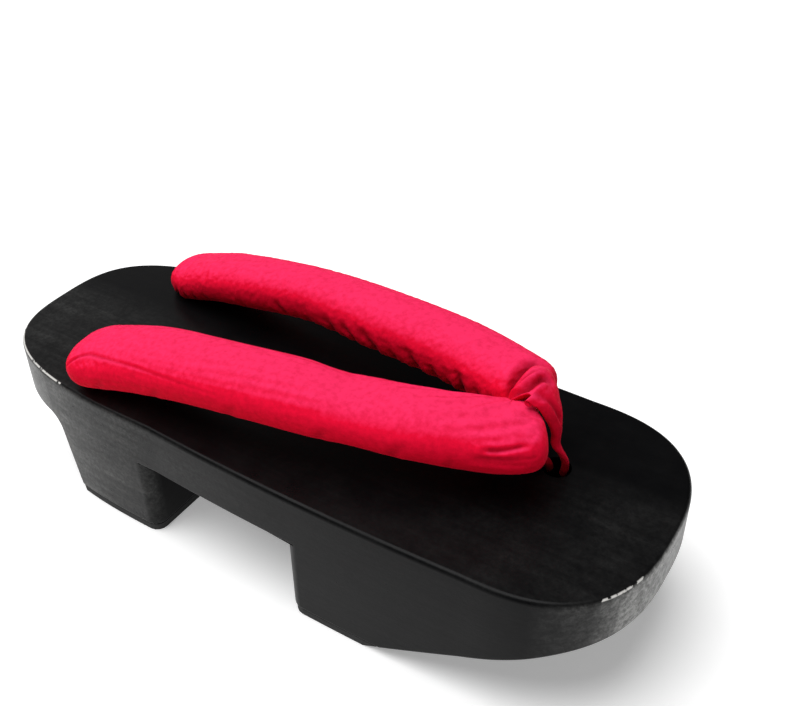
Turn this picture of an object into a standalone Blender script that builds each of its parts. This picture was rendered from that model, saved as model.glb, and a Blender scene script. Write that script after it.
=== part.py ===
"""A geta, right shoe: a lacquered wooden block on two teeth, with a padded cloth V strap and its toe loop.

Metres, +Z up, floor at z = 0. The toe points to +X, the big toe's side is +Y, and the origin is on the
floor under the middle of the footboard. Every piece is a closed solid of its own.
"""

import math

import bmesh
import bpy
from mathutils import Vector

# The wooden block
LENGTH = 0.240
DECK_HEIGHT = 0.050
BOARD_THICK = 0.019
HEEL_WIDTH = 0.0851  # at the root of the round heel end
TOE_WIDTH = 0.0884  # at the root of the round toe end
SIDE_BULGE = 0.0016  # how far each long side bows out between the two roots
HEEL_ROUND = 0.0821  # length of the round heel end
TOE_ROUND = 0.0433
HEEL_SQUARENESS = 2.99  # superellipse exponent: 2 is an ellipse, more is squarer
TOE_SQUARENESS = 2.62
DECK_EDGE = 0.0016  # radius of the deck's rim
SAWN_EDGE = 0.0010  # radius of every other edge of the block
TOOTH_CORNER = 0.0045  # radius of the upright edges on each side of the arch

# The two teeth
REAR_TOOTH_BACK = -0.0865  # where the rear tooth's back meets the board
REAR_TOOTH_LEAN = 0.0062  # how far that back leans in on its way down to the floor
REAR_TOOTH_FILLET = 0.006
REAR_TOOTH_FRONT = -0.0420
FRONT_TOOTH_BACK = 0.0162
FRONT_TOOTH_FLAT = 0.0280  # length of the flat that stands on the floor
FRONT_SLOPE = 0.50  # rise of the slanted front face for each metre forward
LIP_START = 0.100  # where the slanted face eases into the toe's underside
LIP_THICK = 0.0165  # thickness of the board at the very toe

# The rubber treads
TREAD_THICK = 0.0025
TREAD_INSET = 0.0005  # how far the rubber stays back from the wood's side
GLUE_GAP = 0.0003

# The padded strap
CLEARANCE = 0.0003  # between the cloth and whatever it touches
STRAP_HEEL_X = -0.3167 * LENGTH
STRAP_TOE_X = 0.3 * LENGTH
STRAP_SPREAD = 0.0302  # from the middle line out to an arm's middle, at the heel
STRAP_RISE = 0.0205  # from the deck up to an arm's middle, at the toe
STRAP_WIDTH = 0.0246
STRAP_THICK = 0.0165
STRAP_SQUARENESS = 2.3
TOE_SHIFT = 0.003  # how far the V's point lies towards the big toe
OUTER_ARM_TAIL = 0.003  # how far the little toe's arm runs on behind STRAP_HEEL_X
INNER_ARM_TAIL = 0.009
OUTER_ARM_NOSE = 0.008  # how far the little toe's arm runs on ahead of STRAP_TOE_X
INNER_ARM_NOSE = 0.0015
TAIL_ROUND = 0.012
NOSE_ROUND = 0.009
NOSE_TURN = 0.90  # how fast both noses turn towards each other, for each metre forward

# The holes, and the cord of the strap that goes down each one
HEEL_HOLE_X = STRAP_HEEL_X + 0.003
HEEL_HOLE_Y = 0.0300
TOE_HOLE_X = STRAP_TOE_X + 0.008
TOE_HOLE_Y = 0.0085
HOLE_RADIUS = 0.0045
HOLE_DEPTH = 0.014

# The toe loop
LOOP_REACH = 0.0150  # from its front leg back to its rear leg
LOOP_RISE = 0.0305  # from the deck up to the middle of its cloth, on top
LOOP_WIDTH = 0.0188
LOOP_THICK = 0.0034
LOOP_ASIDE = 0.006  # from the hole towards the little toe, to where it dives between the two arms

# Helpers' sizes
CORNER_STEPS = 4  # flats round an upright corner of a tooth
SAW_SPARE = 0.02  # how far the saw's and the drills' shapes reach past the wood
HAIR = 0.001  # a short step: to read a curve's direction, or to set one end back from a face

UNDERSIDE = DECK_HEIGHT - BOARD_THICK
WOOD_BOTTOM = TREAD_THICK + GLUE_GAP
FRONT_TOOTH_TOE = FRONT_TOOTH_BACK + FRONT_TOOTH_FLAT
HEEL_ROOT_X = HEEL_ROUND - LENGTH / 2
TOE_ROOT_X = LENGTH / 2 - TOE_ROUND

# One row for each place along an arm. along: 0 at STRAP_HEEL_X, 1 at STRAP_TOE_X. spread, rise, width and
# thick: shares of the strap's named sizes. lean: degrees that the outer edge hangs below the inner one.
ARM_ROWS = (
    # along, spread, rise, width, thick, lean
    (0.0, 1.00, 0.32, 1.00, 0.88, 0.0),
    (0.2, 0.90, 0.67, 1.01, 0.96, 5.0),
    (0.4, 0.86, 0.88, 0.98, 0.96, 6.0),
    (0.6, 0.75, 0.96, 1.00, 1.02, 2.5),
    (0.8, 0.63, 0.99, 0.95, 1.05, 1.5),
    (1.0, 0.33, 0.99, 1.00, 1.08, 1.5),
)

# One row for each place round the toe loop, from the hole up the front, over the V and down behind it.
# ahead: share of LOOP_REACH in front of the hole. aside, rise, width and thick: shares of the loop's named
# sizes. turn: degrees that the strip is turned, its big toe side towards the heel.
LOOP_ROWS = (
    # ahead, aside, rise, width, thick, turn
    (0.08, 0.00, -0.12, 0.20, 0.75, 0),
    (0.09, 0.00, 0.10, 0.24, 0.80, 0),
    (-0.02, 0.00, 0.40, 0.28, 0.85, 0),
    (-0.08, 0.05, 0.64, 0.44, 0.90, 5),
    (-0.22, 0.10, 0.86, 0.74, 1.00, 14),
    (-0.48, 0.12, 1.00, 1.00, 1.00, 20),
    (-0.72, 0.45, 0.97, 0.74, 1.00, 20),
    (-0.86, 0.95, 0.76, 0.32, 0.90, 8),
    (-0.88, 1.00, 0.45, 0.26, 0.85, 0),
    (-0.60, 0.60, 0.20, 0.24, 0.85, 0),
    (-0.20, 0.10, 0.02, 0.20, 0.75, 0),
    (-0.16, 0.00, -0.12, 0.20, 0.75, 0),
)


def clear_scene():
    for obj in list(bpy.data.objects):
        bpy.data.objects.remove(obj, do_unlink=True)


def material(name, color, roughness):
    """A plain Principled material in the piece's own colour, given in linear light."""
    made = bpy.data.materials.new(name)
    made.use_nodes = True
    shader = made.node_tree.nodes["Principled BSDF"]
    shader.inputs["Base Color"].default_value = (*color, 1.0)
    shader.inputs["Roughness"].default_value = roughness
    return made


def add_object(name, mesh, finish=None):
    obj = bpy.data.objects.new(name, mesh)
    bpy.context.scene.collection.objects.link(obj)
    if finish:
        mesh.materials.append(finish)
    return obj


def skin(name, rings):
    """A closed mesh through rings of as many points each, with the first and the last ring filled."""
    shape = bmesh.new()
    loops = [[shape.verts.new(point) for point in ring] for ring in rings]
    count = len(loops[0])
    for lower, upper in zip(loops, loops[1:]):
        for i in range(count):
            j = (i + 1) % count
            shape.faces.new((lower[i], lower[j], upper[j], upper[i]))
    shape.faces.new(list(reversed(loops[0])))
    shape.faces.new(loops[-1])
    bmesh.ops.recalc_face_normals(shape, faces=shape.faces)
    mesh = bpy.data.meshes.new(name)
    shape.to_mesh(mesh)
    shape.free()
    return mesh


def shade(mesh, sharp_degrees=35.0):
    mesh.shade_smooth()
    mesh.set_sharp_from_angle(angle=math.radians(sharp_degrees))


def helper(obj):
    """Marks an object that only cuts or joins another."""
    obj.hide_render = True
    obj.display_type = "WIRE"
    return obj


def combine(obj, operation, other):
    modifier = obj.modifiers.new(operation.lower(), "BOOLEAN")
    modifier.operation = operation
    modifier.solver = "EXACT"
    modifier.object = helper(other)


def settle(obj):
    """Replaces an object's mesh by what its modifiers make of it, and removes its helpers."""
    others = [modifier.object for modifier in obj.modifiers if modifier.type == "BOOLEAN"]
    graph = bpy.context.evaluated_depsgraph_get()
    obj.data = bpy.data.meshes.new_from_object(obj.evaluated_get(graph))
    obj.modifiers.clear()
    for other in others:
        bpy.data.objects.remove(other, do_unlink=True)


def superellipse(angle, exponent):
    """A point of the unit superellipse at an angle given in radians."""
    reach = abs(math.cos(angle)) ** (2 / exponent)
    rise = abs(math.sin(angle)) ** (2 / exponent)
    return math.copysign(reach, math.cos(angle)), math.copysign(rise, math.sin(angle))


def half_width(x, inset=0.0):
    """Half of the footboard's width at x."""
    if x < HEEL_ROOT_X:
        share = min(1.0, (HEEL_ROOT_X - x) / (HEEL_ROUND - inset))
        return (HEEL_WIDTH / 2 - inset) * (1 - share**HEEL_SQUARENESS) ** (1 / HEEL_SQUARENESS)
    if x > TOE_ROOT_X:
        share = min(1.0, (x - TOE_ROOT_X) / (TOE_ROUND - inset))
        return (TOE_WIDTH / 2 - inset) * (1 - share**TOE_SQUARENESS) ** (1 / TOE_SQUARENESS)
    share = (x - HEEL_ROOT_X) / (TOE_ROOT_X - HEEL_ROOT_X)
    straight = HEEL_WIDTH / 2 + share * (TOE_WIDTH - HEEL_WIDTH) / 2
    return straight + SIDE_BULGE * 4 * share * (1 - share) - inset


def outline(inset=0.0, cap_steps=22, side_steps=10):
    """The footboard seen from above, as points anticlockwise from the heel's tip along the -Y side."""
    side = []
    for i in range(cap_steps):
        reach, rise = superellipse(math.pi / 2 * i / cap_steps, HEEL_SQUARENESS)
        side.append((HEEL_ROOT_X - reach * (HEEL_ROUND - inset), rise * (HEEL_WIDTH / 2 - inset)))
    for i in range(side_steps):
        x = HEEL_ROOT_X + (TOE_ROOT_X - HEEL_ROOT_X) * i / side_steps
        side.append((x, half_width(x, inset)))
    for i in range(cap_steps, 0, -1):
        reach, rise = superellipse(math.pi / 2 * i / cap_steps, TOE_SQUARENESS)
        x = TOE_ROOT_X + reach * (TOE_ROUND - inset)
        side.append((x, rise * (TOE_WIDTH / 2 - inset)))
    near = [(x, -y) for x, y in side]
    far = [(x, y) for x, y in reversed(side[1:])]
    return near + [(LENGTH / 2 - inset, 0.0)] + far


def board_blank():
    """The block before the saw shapes its side: the outline drawn up from the floor to the rounded rim."""
    rim_steps = 3
    rings = [[(x, y, 0.0) for x, y in outline()]]
    for i in range(rim_steps + 1):
        angle = math.pi / 2 * i / rim_steps
        inset = DECK_EDGE * (1 - math.cos(angle))
        z = DECK_HEIGHT - DECK_EDGE * (1 - math.sin(angle))
        rings.append([(x, y, z) for x, y in outline(inset)])
    return skin("board_blank", rings)


def arc(centre_x, centre_z, radius, start, end, steps):
    """Points of an arc in the side view, its angles in degrees from +X towards +Z."""
    angles = [math.radians(start + (end - start) * i / steps) for i in range(steps + 1)]
    return [(centre_x + radius * math.cos(a), centre_z + radius * math.sin(a)) for a in angles]


def side_profile():
    """What the saw leaves in the side view before the arch is cut, from the heel's underside to the toe."""
    lean = math.atan2(REAR_TOOTH_LEAN, UNDERSIDE)
    fillet_run = REAR_TOOTH_FILLET * math.tan((math.pi / 2 - lean) / 2)
    fillet_x = REAR_TOOTH_BACK - fillet_run
    back, front, above = -LENGTH / 2 - SAW_SPARE, LENGTH / 2 + SAW_SPARE, DECK_HEIGHT + SAW_SPARE
    points = [(back, above), (back, UNDERSIDE)]
    points += arc(fillet_x, UNDERSIDE - REAR_TOOTH_FILLET, REAR_TOOTH_FILLET, 90, math.degrees(lean), 4)
    back_foot = REAR_TOOTH_BACK + REAR_TOOTH_LEAN * (1 - WOOD_BOTTOM / UNDERSIDE)
    points += [(back_foot, WOOD_BOTTOM), (FRONT_TOOTH_TOE + WOOD_BOTTOM / FRONT_SLOPE, WOOD_BOTTOM)]
    lip_z = (LIP_START - FRONT_TOOTH_TOE) * FRONT_SLOPE
    toe_z = DECK_HEIGHT - LIP_THICK
    lip_steps = 5
    for i in range(lip_steps + 1):
        share = i / lip_steps
        rise = FRONT_SLOPE * (LENGTH / 2 - LIP_START) * share
        ease = (toe_z - lip_z - FRONT_SLOPE * (LENGTH / 2 - LIP_START)) * share**2
        points.append((LIP_START + (LENGTH / 2 - LIP_START) * share, lip_z + rise + ease))
    points += [(front, toe_z), (front, above)]
    return points


def tooth_side(end, into, inset=0.0):
    """The near half of a tooth's plan at the arch, as points from the side wall round the corner to the end.

    end is the x of the tooth's face to the arch and into is 1 or -1, from that face into the tooth.
    """
    radius = TOOTH_CORNER - inset
    points = []
    for i in range(CORNER_STEPS + 1):
        turn = math.pi / 2 * i / CORNER_STEPS
        x = end + into * radius * (1 - math.sin(turn))
        points.append((x, half_width(x, inset) - radius * (1 - math.cos(turn))))
    return points


def arch_saw():
    """The room between the teeth. Its plan flares round the corners of both teeth."""
    sides = []
    for end, into in ((REAR_TOOTH_FRONT, -1), (FRONT_TOOTH_BACK, 1)):
        half = tooth_side(end, into)
        half.insert(0, (half[0][0], HEEL_WIDTH / 2 + SAW_SPARE))
        sides.append([(x, -y) for x, y in half] + list(reversed(half)))
    plan = sides[0] + list(reversed(sides[1]))
    rings = [[(x, y, z) for x, y in plan] for z in (-SAW_SPARE, UNDERSIDE)]
    return add_object("arch_saw", skin("arch_saw", rings))


def sawn_edge(edge):
    """Whether an edge of the sawn block sticks out sharply, so that it is rounded."""
    sticks_out = len(edge.link_faces) == 2 and edge.calc_face_angle_signed(0.0) > math.radians(32)
    return sticks_out and min(vert.co.z for vert in edge.verts) < DECK_HEIGHT - DECK_EDGE


def round_edges(obj):
    """Rounds the sawn edges through a Bevel that reads a weight from each edge."""
    shape = bmesh.new()
    shape.from_mesh(obj.data)
    weight = shape.edges.layers.float.new("bevel_weight_edge")
    for edge in shape.edges:
        edge[weight] = 1.0 if sawn_edge(edge) else 0.0
    shape.to_mesh(obj.data)
    shape.free()
    bevel = obj.modifiers.new("sawn_edges", "BEVEL")
    bevel.limit_method = "WEIGHT"
    bevel.width = SAWN_EDGE
    bevel.segments = 2
    bevel.use_clamp_overlap = False


def drill(name, x, y):
    """A blind hole that is open at the deck."""
    rings = []
    for z in (DECK_HEIGHT - HOLE_DEPTH, DECK_HEIGHT + SAW_SPARE):
        rings.append(ring_at(x, y, z, HOLE_RADIUS))
    return add_object(name, skin(name, rings))


def ring_at(x, y, z, radius, count=24):
    turns = [2 * math.pi * i / count for i in range(count)]
    return [(x + radius * math.cos(a), y + radius * math.sin(a), z) for a in turns]


def dai_body():
    """The footboard and both teeth, sawn from one block of wood."""
    finish = material("black_lacquered_wood", (0.012, 0.012, 0.013), 0.38)
    block = add_object("dai_body", board_blank(), finish)
    reach = LENGTH / 2
    sides = [[(x, y, z) for x, z in side_profile()] for y in (-reach, reach)]
    combine(block, "INTERSECT", add_object("side_saw", skin("side_saw", sides)))
    combine(block, "DIFFERENCE", arch_saw())
    settle(block)
    round_edges(block)
    settle(block)
    for name, x, y in (
        ("toe_drill", TOE_HOLE_X, TOE_HOLE_Y),
        ("outer_heel_drill", HEEL_HOLE_X, -HEEL_HOLE_Y),
        ("inner_heel_drill", HEEL_HOLE_X, HEEL_HOLE_Y),
    ):
        combine(block, "DIFFERENCE", drill(name, x, y))
    settle(block)
    shade(block.data)
    return block


def tread(name, arch_end, into, other_end, finish):
    """A flat of rubber under a tooth, rounded at the arch. other_end is its x at its foot and its x on top."""
    steps = 8
    rings = []
    for level in (0, 1):
        corner = list(reversed(tooth_side(arch_end, into, TREAD_INSET)))
        start, end = corner[-1][0], other_end[level]
        xs = [start + (end - start) * i / steps for i in range(1, steps + 1)]
        half = corner + [(x, half_width(x, TREAD_INSET)) for x in xs]
        z = level * TREAD_THICK
        rings.append([(x, -y, z) for x, y in half] + [(x, y, z) for x, y in reversed(half)])
    pad = add_object(name, skin(name, rings), finish)
    shade(pad.data)
    return pad


def treads():
    finish = material("black_tread_rubber", (0.010, 0.010, 0.010), 0.75)
    lean = REAR_TOOTH_LEAN * TREAD_THICK / UNDERSIDE
    heel = REAR_TOOTH_BACK + REAR_TOOTH_LEAN + TREAD_INSET
    tread("rear_tooth_rubber", REAR_TOOTH_FRONT - TREAD_INSET, -1, (heel, heel - lean), finish)
    slope = TREAD_THICK / FRONT_SLOPE
    toe = FRONT_TOOTH_TOE - TREAD_INSET
    tread("front_tooth_rubber", FRONT_TOOTH_BACK + TREAD_INSET, 1, (toe, toe + slope), finish)


def between(rows, column, along):
    """A column of a table read at a place along it, on a smooth curve that keeps within its rows."""
    places = [row[0] for row in rows]
    values = [row[column] for row in rows]
    along = min(max(along, places[0]), places[-1])
    i = max(k for k in range(len(places) - 1) if places[k] <= along)
    share = (along - places[i]) / (places[i + 1] - places[i])
    slopes = []
    for k in (i, i + 1):
        low, high = max(k - 1, 0), min(k + 1, len(places) - 1)
        slopes.append((values[high] - values[low]) / (places[high] - places[low]))
    span = places[i + 1] - places[i]
    square, cube = share**2, share**3
    start = values[i] * (2 * cube - 3 * square + 1) + slopes[0] * span * (cube - 2 * square + share)
    end = values[i + 1] * (3 * square - 2 * cube) + slopes[1] * span * (cube - square)
    return start + end


def arm_middle(x, side):
    """The middle of an arm at x. side is -1 for the little toe's arm and 1 for the big toe's."""
    along = (x - STRAP_HEEL_X) / (STRAP_TOE_X - STRAP_HEEL_X)
    spread = STRAP_SPREAD * between(ARM_ROWS, 1, along)
    if along > 1:
        spread -= (x - STRAP_TOE_X) * NOSE_TURN
    rise = STRAP_RISE * between(ARM_ROWS, 2, along)
    shift = TOE_SHIFT * min(max(along, 0), 1) ** 3
    return Vector((x, side * spread + shift, DECK_HEIGHT + CLEARANCE + rise))


def arm(side, tail, nose):
    """One padded arm: flattened round sections, closing to a rounded end at the heel and at the toe."""
    start, end = STRAP_HEEL_X - tail, STRAP_TOE_X + nose
    round_steps, run_steps, around = 6, 30, 20
    places = [(start + TAIL_ROUND * (1 - math.cos(math.pi / 2 * i / round_steps)), i / round_steps)
              for i in range(1, round_steps)]
    run_start, run_end = start + TAIL_ROUND, end - NOSE_ROUND
    places += [(run_start + (run_end - run_start) * i / run_steps, 1.0) for i in range(run_steps + 1)]
    places += [(end - NOSE_ROUND * (1 - math.cos(math.pi / 2 * i / round_steps)), i / round_steps)
               for i in range(round_steps - 1, 0, -1)]
    rings = []
    for x, fullness in places:
        swell = math.sin(math.pi / 2 * fullness)
        middle = arm_middle(x, side)
        ahead = (arm_middle(x + HAIR, side) - arm_middle(x - HAIR, side)).normalized()
        along = (x - STRAP_HEEL_X) / (STRAP_TOE_X - STRAP_HEEL_X)
        lean = math.radians(between(ARM_ROWS, 5, along)) * side
        across = Vector((-ahead.y, ahead.x, 0)).normalized()
        upward = ahead.cross(across)
        wide = across * math.cos(lean) - upward * math.sin(lean)
        thick = across * math.sin(lean) + upward * math.cos(lean)
        half_wide = STRAP_WIDTH / 2 * between(ARM_ROWS, 3, along) * swell
        half_thick = STRAP_THICK / 2 * between(ARM_ROWS, 4, along) * swell
        ring = []
        for i in range(around):
            reach, rise = superellipse(2 * math.pi * i / around, STRAP_SQUARENESS)
            ring.append(middle + wide * (reach * half_wide) + thick * (rise * half_thick))
        rings.append(ring)
    return skin("arm", rings)


def cord_stub(name, x, y, top):
    """The cord of a strap inside its hole."""
    radius = HOLE_RADIUS - CLEARANCE
    levels = (DECK_HEIGHT - HOLE_DEPTH + CLEARANCE, top)
    return add_object(name, skin(name, [ring_at(x, y, z, radius, 20) for z in levels]))


def loop_mesh(grow):
    """The toe loop's strip of cloth, grown by grow on every side."""
    turns = len(LOOP_ROWS) - 1
    rows = [(i / turns, *row) for i, row in enumerate(LOOP_ROWS)]
    steps, around = 44, 12
    spots = []
    for i in range(steps + 1):
        along = i / steps
        x = TOE_HOLE_X + LOOP_REACH * between(rows, 1, along)
        y = TOE_HOLE_Y - LOOP_ASIDE * between(rows, 2, along)
        z = DECK_HEIGHT + LOOP_RISE * between(rows, 3, along)
        spots.append(Vector((x, y, z)))
    rings = []
    for i, spot in enumerate(spots):
        ahead = (spots[min(i + 1, steps)] - spots[max(i - 1, 0)]).normalized()
        turn = math.radians(between(rows, 6, i / steps))
        outward = Vector((-math.sin(turn), math.cos(turn), 0)).cross(ahead).normalized()
        across = ahead.cross(outward)
        half_wide = LOOP_WIDTH / 2 * between(rows, 4, i / steps) + grow
        half_thick = LOOP_THICK / 2 * between(rows, 5, i / steps) + grow
        ring = []
        for k in range(around):
            reach, rise = superellipse(2 * math.pi * k / around, STRAP_SQUARENESS)
            ring.append(spot + across * (reach * half_wide) + outward * (rise * half_thick))
        rings.append(ring)
    return skin("loop", rings)


def hanao_strap():
    """The padded V: two arms that join over the toe loop, each with its cord in the heel."""
    finish = material("red_cotton_cloth", (0.72, 0.010, 0.052), 0.9)
    strap = add_object("hanao_strap", arm(-1, OUTER_ARM_TAIL, OUTER_ARM_NOSE), finish)
    combine(strap, "UNION", add_object("inner_arm", arm(1, INNER_ARM_TAIL, INNER_ARM_NOSE)))
    for name, y in (("outer_cord", -HEEL_HOLE_Y), ("inner_cord", HEEL_HOLE_Y)):
        combine(strap, "UNION", cord_stub(name, HEEL_HOLE_X, y, DECK_HEIGHT + STRAP_THICK / 2))
    combine(strap, "DIFFERENCE", add_object("loop_room", loop_mesh(CLEARANCE)))
    settle(strap)
    shade(strap.data, 50)
    return strap


def maetsubo_toe_loop():
    """The strip of the same cloth that gathers the V and goes down into the toe hole."""
    finish = material("red_cotton_toe_loop", (0.66, 0.009, 0.045), 0.9)
    loop = add_object("maetsubo_toe_loop", loop_mesh(0.0), finish)
    combine(loop, "UNION", cord_stub("toe_cord", TOE_HOLE_X, TOE_HOLE_Y, DECK_HEIGHT - HAIR))
    settle(loop)
    shade(loop.data, 50)
    return loop


clear_scene()
dai_body()
treads()
hanao_strap()
maetsubo_toe_loop()
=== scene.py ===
# %% [markdown]
# This lesson dresses a geta, a Japanese wooden sandal. Its CAD model is already packed: the lacquered block
# (the dai), two rubber treads, the padded V strap (the hanao) and the small loop of cloth that gathers the
# V over the toe hole (the maetsubo). Here the surfaces come: lacquer with its wear, padded cotton with its
# creases, the gathers of the toe loop. Everything stays in the CAD model's frame, in metres, with the toe
# towards +X, the big toe's side towards +Y and the floor at z = 0.

import math

import bpy
from mathutils import Matrix, Vector
from mathutils.bvhtree import BVHTree


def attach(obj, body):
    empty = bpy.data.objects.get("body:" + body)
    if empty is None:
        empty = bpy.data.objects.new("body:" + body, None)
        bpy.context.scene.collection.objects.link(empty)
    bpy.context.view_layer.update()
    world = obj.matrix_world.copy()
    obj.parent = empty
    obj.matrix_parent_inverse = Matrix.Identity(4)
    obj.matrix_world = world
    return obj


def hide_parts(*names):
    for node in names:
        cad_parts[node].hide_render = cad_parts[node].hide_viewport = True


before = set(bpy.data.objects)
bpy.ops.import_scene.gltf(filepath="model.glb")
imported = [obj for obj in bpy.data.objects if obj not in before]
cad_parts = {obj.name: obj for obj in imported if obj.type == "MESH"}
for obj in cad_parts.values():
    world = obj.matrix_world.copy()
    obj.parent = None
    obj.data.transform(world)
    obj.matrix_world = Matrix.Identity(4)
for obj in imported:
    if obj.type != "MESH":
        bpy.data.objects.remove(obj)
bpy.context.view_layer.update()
print("CAD nodes:", sorted(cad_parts))

# %% [markdown]
# Colours are picked in sRGB, as on a screen, but a shader counts light in linear values, so one function
# turns a hex code into linear red, green and blue. A material is a small tree of nodes, so one function
# adds a node with its settings, and fills or links its inputs.


# %% Colours and nodes
def linear(hex_code):
    """Linear RGBA from an sRGB hex code such as #F01848."""
    channels = [int(hex_code[i:i + 2], 16) / 255 for i in (1, 3, 5)]
    return (*[c / 12.92 if c <= 0.04045 else ((c + 0.055) / 1.055) ** 2.4 for c in channels], 1.0)


def add_node(tree, kind, inputs=None, **settings):
    """Adds a node. inputs maps a socket's name or number to a value or to another node's output."""
    node = tree.nodes.new("ShaderNode" + kind)
    for name, value in settings.items():
        setattr(node, name, value)
    for socket, value in (inputs or {}).items():
        if isinstance(value, bpy.types.NodeSocket):
            tree.links.new(value, node.inputs[socket])
        else:
            node.inputs[socket].default_value = value
    return node


def new_material(name):
    """An empty material with its Principled shader, ready for its nodes."""
    material = bpy.data.materials.new(name)
    material.use_nodes = True
    return material, material.node_tree, material.node_tree.nodes["Principled BSDF"]


def ramp(tree, factor, stops, interpolation="LINEAR"):
    """A colour ramp. stops are (place, linear RGBA)."""
    node = add_node(tree, "ValToRGB", {"Fac": factor})
    node.color_ramp.interpolation = interpolation
    for i, (place, colour) in enumerate(stops):
        stop = node.color_ramp.elements[i] if i < 2 else node.color_ramp.elements.new(place)
        stop.position = place
        stop.color = colour
    return node.outputs["Color"]


WHITE = (1.0, 1.0, 1.0, 1.0)
BLACK = (0.0, 0.0, 0.0, 1.0)
print("cloth red in linear light:", [round(v, 3) for v in linear("#F01848")])

# %% [markdown]
# The camera stands to the right of the toe's left side and looks down at 36 degrees. Its place, its turn
# and its lens were worked out from the block's outline and the upright edges of its teeth in the picture.
# The picture is 785 pixels wide and the lens is 1036 of those pixels long, which on a 36 mm wide sensor is
# 47.5 mm.

# %% Camera
CAMERA_PLACE = Vector((0.163862, -0.209464, 0.262399))
CAMERA_TURN = 33.019  # degrees round the sandal, from the -Y side towards the toe
CAMERA_HEIGHT = 36.459  # degrees above the floor
CAMERA_ROLL = -1.0716
LENS_PIXELS = 1036.26
IMAGE_WIDTH = 785

turn, height, roll = (math.radians(v) for v in (CAMERA_TURN, CAMERA_HEIGHT, CAMERA_ROLL))
back = Vector((math.sin(turn) * math.cos(height), -math.cos(turn) * math.cos(height), math.sin(height)))
right = Vector((0, 0, 1)).cross(back).normalized()
up = back.cross(right)
axes = (math.cos(roll) * right + math.sin(roll) * up, math.cos(roll) * up - math.sin(roll) * right, back)
bpy.ops.object.select_all(action="DESELECT")
bpy.ops.object.camera_add()
camera = bpy.context.object
camera.name = "photo_camera"
camera.matrix_world = Matrix.Translation(CAMERA_PLACE) @ Matrix(axes).transposed().to_4x4()
camera.data.sensor_width = 36
camera.data.lens = LENS_PIXELS / IMAGE_WIDTH * camera.data.sensor_width
camera.data.clip_start = 0.01
bpy.context.scene.camera = camera
print("lens in mm:", round(camera.data.lens, 2))

# %% [markdown]
# The sandal stands on a white floor under a large soft light, as in a light tent. The floor is a plane far
# larger than the view. A sun with a wide disc shines from above the camera's side, which leaves the padded
# straps bright on top and dark underneath, and throws the shadow under the arch and behind. The room itself
# stays dim, so that the black lacquer has little to mirror from above and stays black. One soft panel
# behind the heel greys the heel's end, as in the picture.

# %% Floor and light
bpy.ops.object.select_all(action="DESELECT")
bpy.ops.mesh.primitive_plane_add(size=12)
floor = bpy.context.object
floor.name = "white_floor"
paper, tree, shader = new_material("matt_white_paper")
grain = add_node(tree, "TexNoise", {"Scale": 400.0, "Detail": 2.0})
tone = ramp(tree, grain.outputs["Fac"], [(0.3, linear("#F4F4F4")), (0.7, linear("#F8F8F8"))])
tree.links.new(tone, shader.inputs["Base Color"])
shader.inputs["Roughness"].default_value = 0.9
shader.inputs["Specular IOR Level"].default_value = 0.0
shader.inputs["Emission Color"].default_value = WHITE
shader.inputs["Emission Strength"].default_value = 0.32
floor.data.materials.append(paper)


def soft_sun(name, place, strength, disc):
    """A sun that shines from a place towards the origin. disc is its width in degrees."""
    bpy.ops.object.select_all(action="DESELECT")
    bpy.ops.object.light_add(type="SUN")
    sun = bpy.context.object
    sun.name = name
    sun.matrix_world = Vector(place).to_track_quat("Z", "Y").to_matrix().to_4x4()
    sun.data.energy = strength
    sun.data.angle = math.radians(disc)
    return sun


soft_sun("tent_top", (-0.30, -0.14, 1.0), 3.2, 55)
bpy.ops.object.select_all(action="DESELECT")
bpy.ops.object.light_add(type="AREA")
panel = bpy.context.object
panel.name = "heel_panel"
panel.data.size = 0.7
panel.data.energy = 0.5
panel.matrix_world = Vector((-0.75, 0.45, 0.50)).to_track_quat("Z", "Y").to_matrix().to_4x4()
panel.location = Vector((-0.95, 0.60, 0.65))
world = bpy.data.worlds.new("dim_tent")
world.use_nodes = True
world.node_tree.nodes["Background"].inputs["Color"].default_value = (1, 1, 1, 1)
world.node_tree.nodes["Background"].inputs["Strength"].default_value = 0.10
bpy.context.scene.world = world
bpy.context.scene.view_settings.view_transform = "Standard"

# %% [markdown]
# The dai is sawn from one block of light wood. Its plan is a long oval, squarer at the toe, and its side
# view has a leaning heel and a long slant up to the toe. The plan and the side view are each drawn from a
# circle's points and extruded, and a Boolean keeps what both share, as the saw does. A second Boolean cuts
# the arch, whose plan flares round the corners of both teeth. The edges are then broken with sandpaper,
# which is a Bevel with a weight for each edge.

# %% Sizes of the block
LENGTH = 0.240
DECK_HEIGHT = 0.050
BOARD_THICK = 0.019
HEEL_WIDTH = 0.0851
TOE_WIDTH = 0.0884
SIDE_BULGE = 0.0016
HEEL_ROUND = 0.0821
TOE_ROUND = 0.0433
HEEL_SQUARENESS = 2.99
TOE_SQUARENESS = 2.62
DECK_EDGE = 0.0016
SAWN_EDGE = 0.0010
TOOTH_CORNER = 0.0045
REAR_TOOTH_BACK = -0.0865
REAR_TOOTH_LEAN = 0.0062
REAR_TOOTH_FILLET = 0.006
REAR_TOOTH_FRONT = -0.0420
FRONT_TOOTH_BACK = 0.0162
FRONT_TOOTH_TOE = 0.0442
FRONT_SLOPE = 0.50
LIP_START = 0.100
LIP_THICK = 0.0165
WOOD_BOTTOM = 0.0028
UNDERSIDE = DECK_HEIGHT - BOARD_THICK
HEEL_ROOT_X = HEEL_ROUND - LENGTH / 2
TOE_ROOT_X = LENGTH / 2 - TOE_ROUND


def superellipse(angle, exponent):
    """A point of the unit superellipse: exponent 2 is a circle, more is squarer."""
    reach = abs(math.cos(angle)) ** (2 / exponent)
    rise = abs(math.sin(angle)) ** (2 / exponent)
    return math.copysign(reach, math.cos(angle)), math.copysign(rise, math.sin(angle))


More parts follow.
